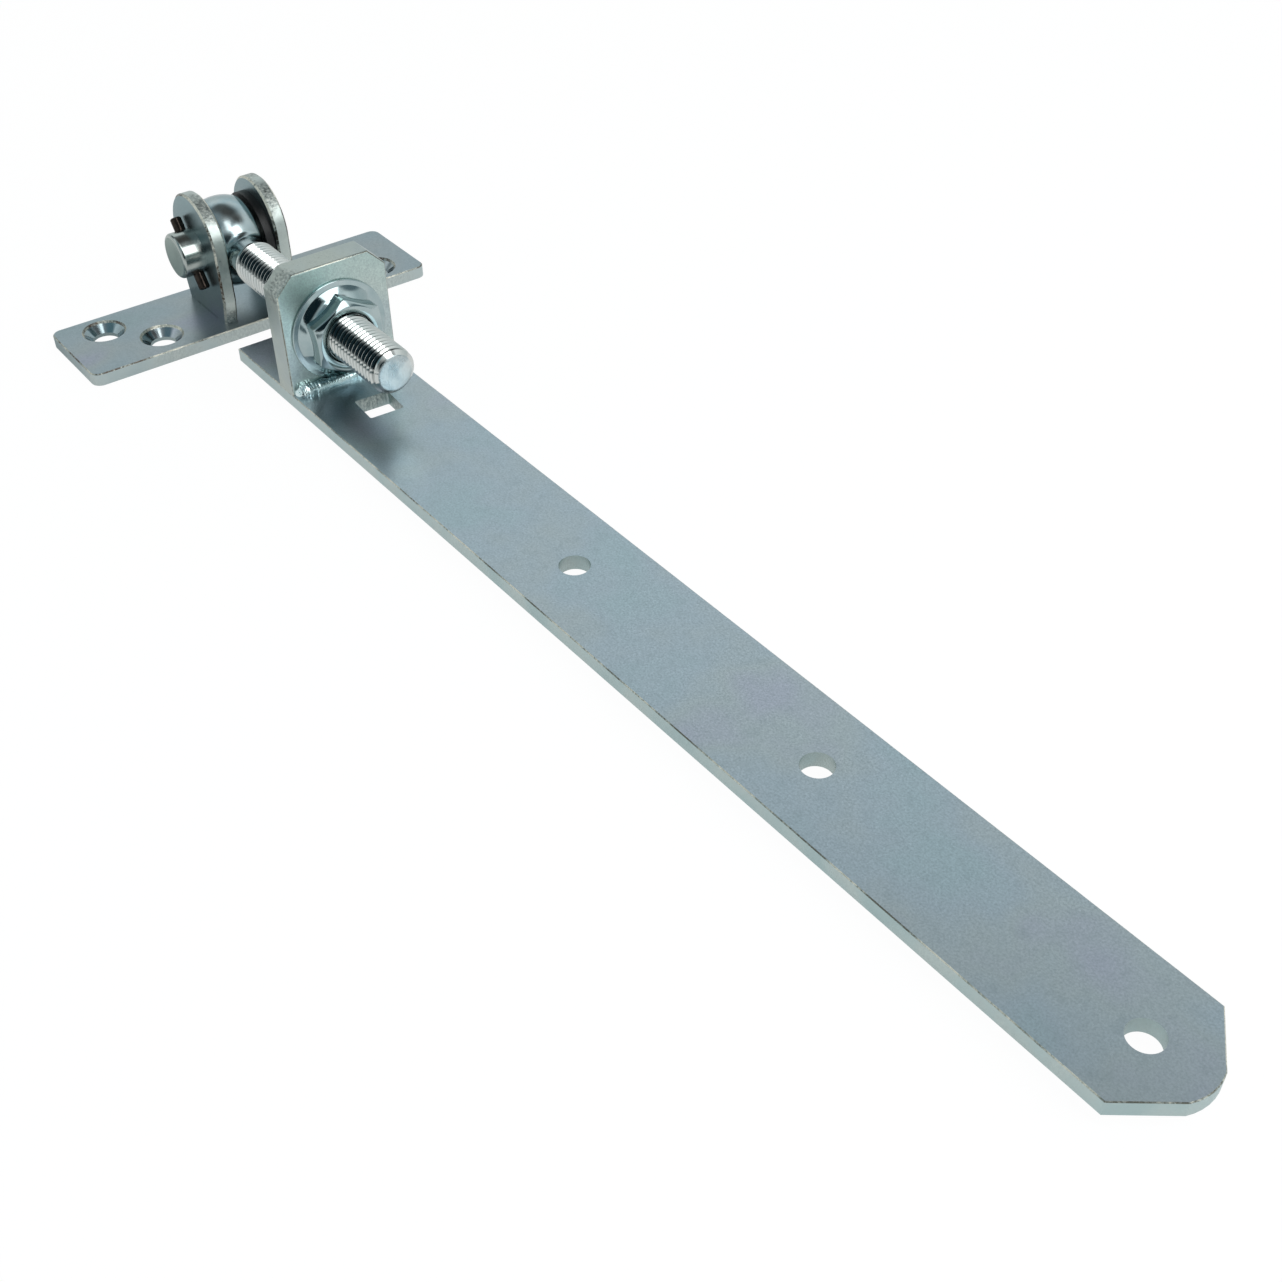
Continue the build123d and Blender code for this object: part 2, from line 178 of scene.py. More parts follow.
def zinc_sheet(node_name, flat_axis, tones, rim_tones, burr, torn, broken=()):
    """Zinc-plated steel, rolled faces along flat_axis. broken lists rough rims as (place, reach)."""
    material, tree, out = new_material("zinc_plated_" + node_name)
    low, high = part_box(node_name)
    middle, half = (low[flat_axis] + high[flat_axis]) / 2, (high[flat_axis] - low[flat_axis]) / 2
    coordinates = add(tree, "ShaderNodeTexCoord")
    place, normal = coordinates.outputs["Object"], coordinates.outputs["Normal"]

    # Where a point lies: on a rolled face, on a rim, or on the edge between them
    facing = add(tree, "ShaderNodeSeparateXYZ", Vector=normal).outputs[flat_axis]
    flatness = add(tree, "ShaderNodeMath", {"operation": "ABSOLUTE"}, _0=facing)
    rim = add(tree, "ShaderNodeMapRange", _0=flatness, _1=0.30, _2=0.55, _3=1.0, _4=0.0)
    sloped = add(tree, "ShaderNodeMapRange", _0=flatness, _1=0.45, _2=0.60)
    rounded = add(tree, "ShaderNodeMapRange", _0=flatness, _1=0.80, _2=0.97, _3=1.0, _4=0.0)
    level = add(tree, "ShaderNodeSeparateXYZ", Vector=place).outputs[flat_axis]
    across = add(tree, "ShaderNodeMath", {"operation": "SUBTRACT"}, _0=level, _1=middle)
    out_from_middle = add(tree, "ShaderNodeMath", {"operation": "ABSOLUTE"}, _0=across)
    shallow = add(
        tree, "ShaderNodeMapRange",
        _0=out_from_middle, _1=half - EDGE_DEPTH, _2=half - 0.8 * EDGE_DEPTH,
    )
    slope_edge = add(tree, "ShaderNodeMath", {"operation": "MULTIPLY"}, _0=sloped, _1=rounded)
    edge = add(tree, "ShaderNodeMath", {"operation": "MULTIPLY"}, _0=slope_edge, _1=shallow)

    # Rolled faces: clouds, grain and stains
    clouds = add(tree, "ShaderNodeTexNoise", Vector=place, Scale=1 / CLOUD_SIZE, Detail=2.0)
    grain = add(
        tree, "ShaderNodeTexNoise", Vector=place, Scale=1 / GRAIN_SIZE, Detail=4.0, Roughness=0.65,
    )
    stains = add(
        tree, "ShaderNodeTexNoise", Vector=place, Scale=1 / STAIN_SIZE, Detail=5.0, Roughness=0.6,
    )
    cloud_tone = add(tree, "ShaderNodeValToRGB", {"stops": list(zip(CLOUD_STOPS, tones))}, Fac=clouds)
    grain_share = add(tree, "ShaderNodeMapRange", _0=grain, _1=0.32, _2=0.68, _3=0.0, _4=0.42)
    stain_share = add(tree, "ShaderNodeMapRange", _0=stains, _1=0.52, _2=0.72, _3=0.0, _4=0.22)
    grained = add(
        tree, "ShaderNodeMix", {"data_type": "RGBA"},
        _0=grain_share, _6=cloud_tone, _7=linear(GRAIN_TONE),
    )
    face_tone = add(
        tree, "ShaderNodeMix", {"data_type": "RGBA"},
        _0=stain_share, _6=grained, _7=linear(STAIN_TONE),
    )

    # Rims: torn stretches, with marks drawn out a little across the rim
    stretch = [1.0, 1.0, 1.0]
    stretch[flat_axis] = ACROSS_RIM
    drawn_out = add(tree, "ShaderNodeMapping", Vector=place, Scale=stretch)
    tears = add(
        tree, "ShaderNodeTexNoise",
        Vector=drawn_out, Scale=1 / TEAR_SIZE, Detail=5.0, Roughness=0.7,
    )
    patches = add(tree, "ShaderNodeTexNoise", Vector=place, Scale=1 / PATCH_SIZE, Detail=2.0)
    torn_here = add(tree, "ShaderNodeMapRange", _0=patches, _1=0.50, _2=0.62, _3=0.12 * torn, _4=torn)
    for centre, reach in broken:
        away = add(tree, "ShaderNodeVectorMath", {"operation": "DISTANCE"}, _0=place, _1=centre)
        rough_here = add(
            tree, "ShaderNodeMapRange",
            _0=away.outputs["Value"], _1=0.7 * reach, _2=reach, _3=0.6, _4=0.0,
        )
        torn_here = add(tree, "ShaderNodeMath", {"operation": "MAXIMUM"}, _0=torn_here, _1=rough_here)
    smooth_stops = [(0.35, rim_tones[0]), (0.65, rim_tones[1])]
    smooth_tone = add(tree, "ShaderNodeValToRGB", {"stops": smooth_stops}, Fac=patches)
    # Torn tones: the dark pits are painted shade, the bright sparks are painted glints
    tear_pit_and_glint_stops = [(0.36, "#3A3C3A"), (0.46, "#8B938F"), (0.56, "#C2C8C2"), (0.68, "#ECEAE0")]
    tear_pit_and_glint_tone = add(tree, "ShaderNodeValToRGB", {"stops": tear_pit_and_glint_stops}, Fac=tears)
    rim_tone = add(
        tree, "ShaderNodeMix", {"data_type": "RGBA"}, _0=torn_here, _6=smooth_tone, _7=tear_pit_and_glint_tone,
    )
    shifted = add(tree, "ShaderNodeMath", {"operation": "MULTIPLY_ADD"}, _0=patches, _1=1.4, _2=-0.7)
    burr_mix = add(tree, "ShaderNodeMath", {"operation": "ADD"}, _0=tears, _1=shifted)
    # Edge tones: the real dark burr, then grey, then cream stops that paint a highlight on the edge
    burr_and_edge_highlight_stops = [(0.34, burr), (0.46, "#9AA19B"), (0.58, "#CDCDC0"), (0.74, "#EBE8DA")]
    burr_and_edge_highlight_tone = add(tree, "ShaderNodeValToRGB", {"stops": burr_and_edge_highlight_stops}, Fac=burr_mix)
    body_tone = add(tree, "ShaderNodeMix", {"data_type": "RGBA"}, _0=rim, _6=face_tone, _7=rim_tone)
    colour = add(tree, "ShaderNodeMix", {"data_type": "RGBA"}, _0=edge, _6=body_tone, _7=burr_and_edge_highlight_tone)

    # Roughness and relief follow the same masks
    rough_face = add(tree, "ShaderNodeMapRange", _0=grain, _1=0.3, _2=0.7, _3=0.27, _4=0.37)
    rough_rim = add(tree, "ShaderNodeMapRange", _0=tears, _1=0.3, _2=0.7, _3=0.26, _4=0.48)
    sheet_rough = add(
        tree, "ShaderNodeMix", {"data_type": "FLOAT"}, _0=rim, _2=rough_face, _3=rough_rim,
    )
    cone = add(
        tree, "ShaderNodeMath", {"operation": "SUBTRACT", "use_clamp": True}, _0=slope_edge, _1=edge,
    )
    rough_cone = add(tree, "ShaderNodeMapRange", _0=stains, _1=0.35, _2=0.65, _3=0.08, _4=0.22)
    roughness = add(
        tree, "ShaderNodeMix", {"data_type": "FLOAT"}, _0=cone, _2=sheet_rough, _3=rough_cone,
    )
    torn_rim = add(tree, "ShaderNodeMath", {"operation": "MULTIPLY"}, _0=rim, _1=torn_here)
    worn = add(tree, "ShaderNodeMath", {"operation": "MAXIMUM"}, _0=torn_rim, _1=edge)
    worn_strength = add(tree, "ShaderNodeMath", {"operation": "MULTIPLY"}, _0=worn, _1=0.7)
    fine = add(tree, "ShaderNodeBump", Strength=0.14, Distance=GRAIN_RELIEF, Height=grain)
    relief = add(
        tree, "ShaderNodeBump", Strength=worn_strength, Distance=TEAR_RELIEF, Height=tears, Normal=fine,
    )
    shader = add(
        tree, "ShaderNodeBsdfPrincipled",
        Base_Color=colour, Metallic=1.0, Roughness=roughness, Normal=relief,
    )
    tree.links.new(shader.outputs[0], out.inputs["Surface"])
    clothe(node_name, material)


EAR_TONES = ("#8CA5A8", "#96AAAD", "#9FADAD", "#9AA4AD")
EAR_RIMS = ("#B8C2BE", "#D8E0DB")
STRAP_TONES = ("#B2C6CD", "#B6C5CE", "#B9C5C9", "#B9C0CD")
STRAP_RIMS = ("#B2C6C6", "#C2D0CE")
PLATE_TONES = ("#9DAFB3", "#A4B2B8", "#AAB3B5", "#A8ACBC")
PLATE_RIMS = ("#B8C6C7", "#C8D2D0")
# The lug's tones are lighter than the other plates', painted light that brightens its front
LUG_TONES_WITH_PAINTED_LIGHT = ("#BEDAD5", "#C6DAD4", "#CCDAD4", "#C6D4D4")
LUG_RIMS = ("#B4BEBC", "#BFC7C0")
SQUARE_HOLE_PLACE = 61.5 * MM
square_hole = (Vector((strap_low.x + SQUARE_HOLE_PLACE, bolt_y, strap_top)), 10 * MM)
lug_corner = (Vector((lug_high.x, lug_low.y + 2 * MM, lug_high.z - 3 * MM)), 9 * MM)
zinc_sheet("strap", 2, STRAP_TONES, STRAP_RIMS, burr="#75756C", torn=0.12, broken=[square_hole])
zinc_sheet("wall_plate", 2, PLATE_TONES, PLATE_RIMS, burr="#6A6058", torn=0.22)
zinc_sheet("near_ear", 1, EAR_TONES, EAR_RIMS, burr="#45382E", torn=0.75)
zinc_sheet("far_ear", 1, EAR_TONES, EAR_RIMS, burr="#3A3530", torn=0.75)
zinc_sheet("lug_plate", 0, LUG_TONES_WITH_PAINTED_LIGHT, LUG_RIMS, burr="#7A766C", torn=0.16, broken=[lug_corner])


# %% [markdown]
# ## Bright zinc on forged, turned and rolled steel
# The nuts, the pin and the eye bolt left their machines smooth, so the same plating
# comes out far brighter on them. They share one recipe: a cool near-neutral metal with
# low roughness, a soft cloud in that roughness, and faint machining marks as a bump. The
# marks are drawn coarser than real ones, which would be too fine to show.
# The root of the thread is darkened with painted shade, a tone that depends on the distance
# from the bolt's axis.

# %% Bright zinc
PITCH = 2.0 * MM
CREST_RADIUS = 7.95 * MM
ROOT_RADIUS = 6.80 * MM
CHAMFER = 1.7 * MM
SHINE_CLOUD = 7 * MM
MARK_RELIEF = 0.05 * MM


def bright_zinc(name, tones, rough, mark_mm, bump, stretch=(1, 1, 1), threaded=False):
    """Bright zinc with marks mark_mm apart, which run along the axes where stretch is below 1."""
    material, tree, out = new_material(name)
    place = add(tree, "ShaderNodeTexCoord").outputs["Object"]
    clouds = add(tree, "ShaderNodeTexNoise", Vector=place, Scale=1 / SHINE_CLOUD, Detail=3.0)
    tone_stops = [(0.36, tones[0]), (0.64, tones[1])]
    colour = add(tree, "ShaderNodeValToRGB", {"stops": tone_stops}, Fac=clouds)
    drawn_out = add(tree, "ShaderNodeMapping", Vector=place, Scale=stretch)
    marks = add(
        tree, "ShaderNodeTexNoise",
        Vector=drawn_out, Scale=1 / (mark_mm * MM), Detail=3.0, Roughness=0.6,
    )
    both = add(tree, "ShaderNodeMath", {"operation": "ADD"}, _0=marks, _1=clouds)
    roughness = add(tree, "ShaderNodeMapRange", _0=both, _1=0.7, _2=1.3, _3=rough[0], _4=rough[1])
    if threaded:
        # Painted shade in the roots, by the distance from the bolt's axis, as far as the chamfer
        to_axis = (0, -bolt_y, -pin_height)
        from_axis = add(tree, "ShaderNodeMapping", Vector=place, Location=to_axis, Scale=(0, 1, 1))
        radius = add(tree, "ShaderNodeVectorMath", {"operation": "LENGTH"}, _0=from_axis)
        depth = add(
            tree, "ShaderNodeMapRange",
            _0=radius.outputs["Value"], _1=ROOT_RADIUS, _2=CREST_RADIUS,
        )
        painted_root_shade_stops = [(0.05, "#15191A"), (0.30, "#2A2F31"), (0.46, "#D0D3D3"), (0.60, "#FFFFFF")]
        shade = add(tree, "ShaderNodeValToRGB", {"stops": painted_root_shade_stops}, Fac=depth)
        along = add(tree, "ShaderNodeSeparateXYZ", Vector=place).outputs["X"]
        chamfer_start = bolt_end - CHAMFER
        whole = add(
            tree, "ShaderNodeMapRange",
            _0=along, _1=chamfer_start - 0.5 * MM, _2=chamfer_start + 0.2 * MM, _3=1.0, _4=0.0,
        )
        colour = add(
            tree, "ShaderNodeMix", {"data_type": "RGBA", "blend_type": "MULTIPLY"},
            _0=whole, _6=colour, _7=shade,
        )
    relief = add(tree, "ShaderNodeBump", Strength=bump, Distance=MARK_RELIEF, Height=marks)
    shader = add(
        tree, "ShaderNodeBsdfPrincipled",
        Base_Color=colour, Metallic=1.0, Roughness=roughness, Normal=relief,
    )
    tree.links.new(shader.outputs[0], out.inputs["Surface"])
    return material


# Flange nuts, forged cold and plated in a barrel
nut_zinc = bright_zinc(
    "bright_zinc_flange_nut", ("#A3B5B7", "#B6C4C4"), rough=(0.06, 0.15), mark_mm=1.4, bump=0.12,
)
# Rolled thread, the smoothest of all
thread_zinc = bright_zinc(
    "rolled_thread_zinc", ("#CAD0CE", "#DADCD8"), rough=(0.05, 0.13), mark_mm=0.8, bump=0.10,
    threaded=True,
)
# Ball and neck, forged hot and then plated
forged_zinc = bright_zinc(
    "forged_eye_zinc", ("#9FB4B9", "#B8C3C3"), rough=(0.11, 0.25), mark_mm=2.2, bump=0.12,
)
# Turned bar, with fine marks round the pin
pin_zinc = bright_zinc(
    "turned_pin_zinc", ("#AEB6B2", "#BAC0BB"), rough=(0.14, 0.26), mark_mm=0.35, bump=0.30,
    stretch=(0.1, 1, 0.1),
)
# The pin's faced end, dull
faced_zinc = bright_zinc(
    "faced_pin_end_zinc", ("#AAB6AF", "#B5C1BA"), rough=(0.38, 0.50), mark_mm=0.6, bump=0.30,
)
# The bolt's sheared end, with upright marks of the blade
end_zinc = bright_zinc(
    "sheared_end_zinc", ("#8FA3A9", "#DDE3E2"), rough=(0.20, 0.42), mark_mm=0.6, bump=1.0,
    stretch=(1, 1, 0.25),
)
# Weld metal, plated together with the steel round it
weld_zinc = bright_zinc(
    "zinc_plated_weld_bead", ("#C4E0E2", "#E4F6F6"), rough=(0.12, 0.28), mark_mm=1.4, bump=0.30,
)
for plug in ("near_ear_weld", "far_ear_weld"):
    clothe(plug, weld_zinc)


# %% [markdown]
# ## Black pieces
# The spring pin is rolled from spring steel and blackened, which leaves a dark brown
# oxide with a low shine. The two washers are black plastic.

# %% Black oxide and black plastic
BLACK_GRAIN = 1.2 * MM
BLACK_RELIEF = 0.05 * MM


def black_finish(name, tones, rough, metallic):
    """A dark finish with a fine grain."""
    material, tree, out = new_material(name)
    place = add(tree, "ShaderNodeTexCoord").outputs["Object"]
    grain = add(tree, "ShaderNodeTexNoise", Vector=place, Scale=1 / BLACK_GRAIN, Detail=4.0)
    colour = add(tree, "ShaderNodeValToRGB", {"stops": [(0.35, tones[0]), (0.65, tones[1])]}, Fac=grain)
    roughness = add(tree, "ShaderNodeMapRange", _0=grain, _1=0.3, _2=0.7, _3=rough[0], _4=rough[1])
    relief = add(tree, "ShaderNodeBump", Strength=0.08, Distance=BLACK_RELIEF, Height=grain)
    shader = add(
        tree, "ShaderNodeBsdfPrincipled",
        Base_Color=colour, Metallic=metallic, Roughness=roughness, Normal=relief,
    )
    tree.links.new(shader.outputs[0], out.inputs["Surface"])
    return material


black_steel = black_finish(
    "blackened_spring_steel", ("#2B2623", "#3F3833"), rough=(0.16, 0.26), metallic=1.0,
)
black_plastic = black_finish("black_nylon", ("#050606", "#090A0A"), rough=(0.35, 0.5), metallic=0.0)
clothe("spring_pin", black_steel)
for washer in ("outer_washer", "inner_washer"):
    clothe(washer, black_plastic)


# %% [markdown]
# ## Making a piece
# A bmesh holds the shape while operators work on it. At the end it becomes a mesh whose
# faces are shaded smooth, apart from its sharp edges, and the new piece is tied to the
# frame: it rides on a body, and it stands for the plain solid that it replaces.
# Most shapes here are turned ones. A row of points is joined to an outline, and a spin
# round an axis sweeps it into a surface, as a lathe would.

# %% From outline to piece
# How near a plane a vertex counts as lying on it
PLANE_REACH = 1e-7
ACROSS_BOLT = Matrix.Rotation(math.pi / 2, 4, "Y")


def finish_piece(builder, name, materials, body, node, sharp_degrees=35):
    """Turn a bmesh in metres into a piece of the hinge that replaces a frame node."""
    bmesh.ops.remove_doubles(builder, verts=builder.verts, dist=0.002 * MM)
    bmesh.ops.recalc_face_normals(builder, faces=builder.faces)
    for face in builder.faces:
        face.smooth = True
    for edge in builder.edges:
        edge.smooth = len(edge.link_faces) == 2 and edge.calc_face_angle() < math.radians(sharp_degrees)
    mesh = bpy.data.meshes.new(name)
    builder.to_mesh(mesh)
    builder.free()
    for material in materials:
        mesh.materials.append(material)
    piece = bpy.data.objects.new(name, mesh)
    bpy.context.scene.collection.objects.link(piece)
    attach(piece, body)
    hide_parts(node)
    print(name, "faces", len(mesh.polygons))


def everything(builder):
    """All that a bmesh holds, as its operators want it."""
    return builder.verts[:] + builder.edges[:] + builder.faces[:]


def verts_of(edges):
    """The vertices of some edges, each once and in the same order in every run."""
    return list(dict.fromkeys(vert for edge in edges for vert in edge.verts))


def polyline(builder, points):
    """Join new vertices at points by edges, in turn."""
    verts = [builder.verts.new(point) for point in points]
    for pair in zip(verts, verts[1:]):
        builder.edges.new(pair)


def spin_once(builder, axis, steps):
    """Spin an outline once round an axis through the origin."""
    bmesh.ops.spin(
        builder, geom=everything(builder), cent=(0, 0, 0), axis=axis,
        angle=2 * math.pi, steps=steps, use_merge=True,
    )


def cut_at(builder, place, normal, cleared=True):
    """Cut all at a plane, clear what lies on the normal's side, and return the cut's edges."""
    cut = bmesh.ops.bisect_plane(
        builder, geom=everything(builder), dist=PLANE_REACH,
        plane_co=place, plane_no=normal, clear_outer=cleared,
    )
    return [item for item in cut["geom_cut"] if isinstance(item, bmesh.types.BMEdge)]


# %% [markdown]
# ## The forged eye
# The bolt is forged in one with a ball whose two sides are milled flat and bored for the
# pin. Its ring is the ball's arc between the flats, closed down to the bore and spun once
# round the pin. The neck is drawn out of the ball with a hollow of 3 mm radius, so a
# second outline, spun round the bolt, makes the hollow and the neck, and two slightly
# sloped cuts blend it into the flats.

# %% Ring of the eye
BALL_RADIUS = (bolt_high.z - bolt_low.z) / 2
EYE_HALF = 7.25 * MM
BORE_RADIUS = 8.05 * MM
MILLED_EDGE = 0.35 * MM
ring = bmesh.new()
bmesh.ops.create_circle(ring, segments=128, radius=BALL_RADIUS, matrix=ACROSS_BOLT)
for way in (1, -1):
    cut_at(ring, (0, way * EYE_HALF, 0), (0, way, 0))
cut_at(ring, (0, 0, BORE_RADIUS), (0, 0, -1))
flat_rims = [v for v in ring.verts if abs(abs(v.co.y) - EYE_HALF) < 0.01 * MM]
bore_rims = []
for rim_vert in flat_rims:
    made = bmesh.ops.extrude_vert_indiv(ring, verts=[rim_vert])
    made["verts"][0].co.z = BORE_RADIUS
    bore_rims += made["verts"]
bmesh.ops.contextual_create(ring, geom=bore_rims)
corners = [v for v in ring.verts if abs(abs(v.co.y) - EYE_HALF) < 0.01 * MM]
bmesh.ops.bevel(
    ring, geom=corners, offset=MILLED_EDGE, segments=3, profile=0.5, affect="VERTICES", material=-1,
)
spin_once(ring, (0, 1, 0), 96)
bmesh.ops.translate(ring, verts=ring.verts, vec=eye_middle)
print("eye ring faces", len(ring.faces))

# %% Neck and its hollow
NECK_RADIUS = 7.35 * MM
HOLLOW_RADIUS = 3.0 * MM
HOLLOW_STEPS = 10
THREAD_START = 21.0 * MM
UNDER_THREAD = 0.4 * MM
FLAT_SLOPE = math.radians(5)
SLOPE_PLACE = 14 * MM
# The hollow's centre lies both radii from the ball's centre, as the two touch, and its own
# radius above the neck's line
hollow_x = math.sqrt((BALL_RADIUS + HOLLOW_RADIUS) ** 2 - (NECK_RADIUS + HOLLOW_RADIUS) ** 2)
hollow_height = NECK_RADIUS + HOLLOW_RADIUS
lowest_angle = math.atan2(hollow_height, hollow_x)
# The outline starts inside the ball, follows the hollow, and ends under the first thread
outline = [(0.76 * hollow_x, 0, 0), (0.77 * hollow_x, 0, 0.62 * hollow_height)]
for step in range(HOLLOW_STEPS + 1):
    turn = math.pi + lowest_angle + (math.pi / 2 - lowest_angle) * step / HOLLOW_STEPS
    outline.append((
        hollow_x + HOLLOW_RADIUS * math.cos(turn), 0, hollow_height + HOLLOW_RADIUS * math.sin(turn),
    ))
outline += [(THREAD_START + UNDER_THREAD, 0, NECK_RADIUS), (THREAD_START + UNDER_THREAD, 0, 0)]
neck = bmesh.new()
polyline(neck, outline)
spin_once(neck, (1, 0, 0), 96)
for way in (1, -1):
    slope_normal = (-math.sin(FLAT_SLOPE), way * math.cos(FLAT_SLOPE), 0)
    rim = cut_at(neck, (SLOPE_PLACE, way * EYE_HALF, 0), slope_normal)
    bmesh.ops.holes_fill(neck, edges=rim, sides=0)
bmesh.ops.translate(neck, verts=neck.verts, vec=eye_middle)
neck_mesh = bpy.data.meshes.new("neck")
neck.to_mesh(neck_mesh)
neck.free()
ring.from_mesh(neck_mesh)
finish_piece(ring, "forged_eye", [forged_zinc], "eye", "eye_bolt")

# %% [markdown]
# ## The rolled thread
# An M16 thread has a pitch of 2 mm and flanks at 60 degrees. Its outline for one pitch is
# six short lines with a narrow flat at the root and another at the crest. A spin that
# also moves along the axis by one pitch sweeps it into one turn of a true helix. Copying
# all there is and moving the copy on doubles the thread each time, and merging the
# doubles welds each turn to the next. At both ends the dies and the shears leave less
# metal: the thread fades out of the neck, and a chamfer takes the crests off the cut end.
# So every vertex there is pulled in or out to a limit that depends only on its place.

# %% Sweep the thread
TURN_STEPS = 72
ROOT_FLAT = 0.26 * MM
CREST_FLAT = 0.30 * MM
FLANK = (PITCH - ROOT_FLAT - CREST_FLAT) / 2
SOFTENING = 0.08 * MM
thread = bmesh.new()
flank_foot = ROOT_FLAT / 2
flank_top = flank_foot + FLANK
outline = [
    (0, ROOT_RADIUS),
    (flank_foot, ROOT_RADIUS + 0.3 * SOFTENING),
    (flank_top, CREST_RADIUS - SOFTENING),
    (flank_top + 0.25 * CREST_FLAT, CREST_RADIUS),
    (flank_top + 0.75 * CREST_FLAT, CREST_RADIUS),
    (flank_top + CREST_FLAT, CREST_RADIUS - SOFTENING),
    (PITCH - flank_foot, ROOT_RADIUS + 0.3 * SOFTENING),
    (PITCH, ROOT_RADIUS),
]
polyline(thread, [(x, 0, height) for x, height in outline])
bmesh.ops.spin(
    thread, geom=everything(thread), cent=(0, 0, 0), axis=(1, 0, 0),
    dvec=(PITCH / TURN_STEPS, 0, 0), angle=2 * math.pi, steps=TURN_STEPS, use_merge=False,
)
turns = 1
while turns * PITCH < bolt_end - THREAD_START + 3 * PITCH:
    copy = bmesh.ops.duplicate(thread, geom=everything(thread))["geom"]
    copied = [item for item in copy if isinstance(item, bmesh.types.BMVert)]
    bmesh.ops.translate(thread, verts=copied, vec=(turns * PITCH, 0, 0))
    turns *= 2
bmesh.ops.remove_doubles(thread, verts=thread.verts, dist=0.005 * MM)
bmesh.ops.translate(thread, verts=thread.verts, vec=(THREAD_START - 1.5 * PITCH, bolt_y, pin_height))
print("thread turns", turns, "faces", len(thread.faces))

# %% Trim both ends of the thread
RUN_OUT = 2.4 * MM
cuts = [(THREAD_START, -1, True)]
cuts += [(bolt_end - CHAMFER * share, 1, False) for share in (1.0, 0.75, 0.5, 0.25)]
cuts += [(bolt_end, 1, True)]
for place_x, way, cleared in cuts:
    cut_at(thread, (place_x, 0, 0), (way, 0, 0), cleared)
for vert in thread.verts:
    across = Vector((0, vert.co.y - bolt_y, vert.co.z - pin_height))
    start_share = min(1, (vert.co.x - THREAD_START) / RUN_OUT)
    lowest = NECK_RADIUS + (ROOT_RADIUS - NECK_RADIUS) * start_share
    highest = min(
        NECK_RADIUS + (CREST_RADIUS - NECK_RADIUS) * min(1, 2 * start_share),
        CREST_RADIUS - CHAMFER + (bolt_end - vert.co.x),
    )
    radius = min(max(across.length, lowest), highest)
    across *= radius / across.length
    vert.co = (vert.co.x, bolt_y + across.y, pin_height + across.z)

# %% [markdown]
# ## The cut end
# The bar was sheared and then faced roughly, so its end is a shallow dome with a soft
# rim. The end loop of the thread is drawn inwards in a few steps, most of them a little
# further out than the last, and the small hole that is left is filled.

# %% Cap the bolt's end
END_DOME = 0.40 * MM
# Rings of the dome, as shares of the end's radius and of the dome's height
DOME_RINGS = ((0.97, 0.35), (0.93, 0.55), (0.85, 0.72), (0.6, 0.9), (0.3, 1.0), (0.1, 1.0))
bmesh.ops.remove_doubles(thread, verts=thread.verts, dist=0.01 * MM)
open_edges = [edge for edge in thread.edges if edge.is_boundary]
start_loop = [edge for edge in open_edges if edge.verts[0].co.x < THREAD_START + PITCH]
bmesh.ops.holes_fill(thread, edges=start_loop, sides=0)
end_loop = [edge for edge in thread.edges if edge.is_boundary]
to_axis = Matrix.Translation((0, -bolt_y, -pin_height))
reached, risen = 1.0, 0.0
for share, rise in DOME_RINGS:
    made = bmesh.ops.extrude_edge_only(thread, edges=end_loop)["geom"]
    end_loop = [item for item in made if isinstance(item, bmesh.types.BMEdge)]
    loop_verts = verts_of(end_loop)
    bmesh.ops.scale(thread, verts=loop_verts, vec=(1, share / reached, share / reached), space=to_axis)
    bmesh.ops.translate(thread, verts=loop_verts, vec=((rise - risen) * END_DOME, 0, 0))
    reached, risen = share, rise
bmesh.ops.holes_fill(thread, edges=end_loop, sides=0)
for face in thread.faces:
    face.material_index = int(face.calc_center_median().x > bolt_end - 0.001 * MM)
finish_piece(thread, "rolled_thread", [thread_zinc, end_zinc], "eye", "eye_bolt")

# %% [markdown]
# ## Flange nuts
# Each nut is forged in one: a round flange with a nearly flat rim band, a hollow slope,
# and a low hexagon whose outer corners are cut off by a cone. Where the cone meets the
# flat sides it leaves the curved lines that every nut has. The hexagon starts as a
# six-sided circle with its sides divided, and is drawn up ring by ring. The flange is
# one outline spun round the bolt. Zinc rounds every edge a little, so each edge gets a
# ring on both sides, and it shows as a bright line.

# %% Nut sizes
CORNER_RADIUS = 12 * MM / math.cos(math.radians(30))
FACE_RADIUS = 11.2 * MM
SINK_RADIUS = 8.8 * MM
NUT_BORE = 8.1 * MM
EDGE_ROUND = 0.28 * MM
CORNER_WEAR = 0.10 * MM
FILLET_STEPS = 8
NUT_HEIGHT = front_nut_high.x - front_nut_low.x
FLANGE_RADIUS = (front_nut_high.z - front_nut_low.z) / 2
CORNER_SLOPE = math.tan(math.radians(30))
RIM_HEIGHT = 0.8 * MM
# Four places on the flange, as (height, radius)
BAND_IN = (1.00 * MM, 15.4 * MM)
SLOPE_MIDDLE = (2.05 * MM, 13.75 * MM)
FILLET_PULL = (2.65 * MM, 12.8 * MM)
FILLET_TOP = (4.0 * MM, 11.9 * MM)
print("nut height in mm", round(NUT_HEIGHT / MM, 2), "flange radius", round(FLANGE_RADIUS / MM, 2))


# %% Forge a nut
def draw_ring(builder, loop, shape):
    """Extrude a loop of edges and put each new vertex where shape(radius) says, as (x, radius)."""
    made = bmesh.ops.extrude_edge_only(builder, edges=loop)["geom"]
    for vert in (item for item in made if isinstance(item, bmesh.types.BMVert)):
        radius = math.hypot(vert.co.y, vert.co.z)
        new_x, new_radius = shape(radius)
        vert.co = (new_x, vert.co.y * new_radius / radius, vert.co.z * new_radius / radius)
    return [item for item in made if isinstance(item, bmesh.types.BMEdge)]


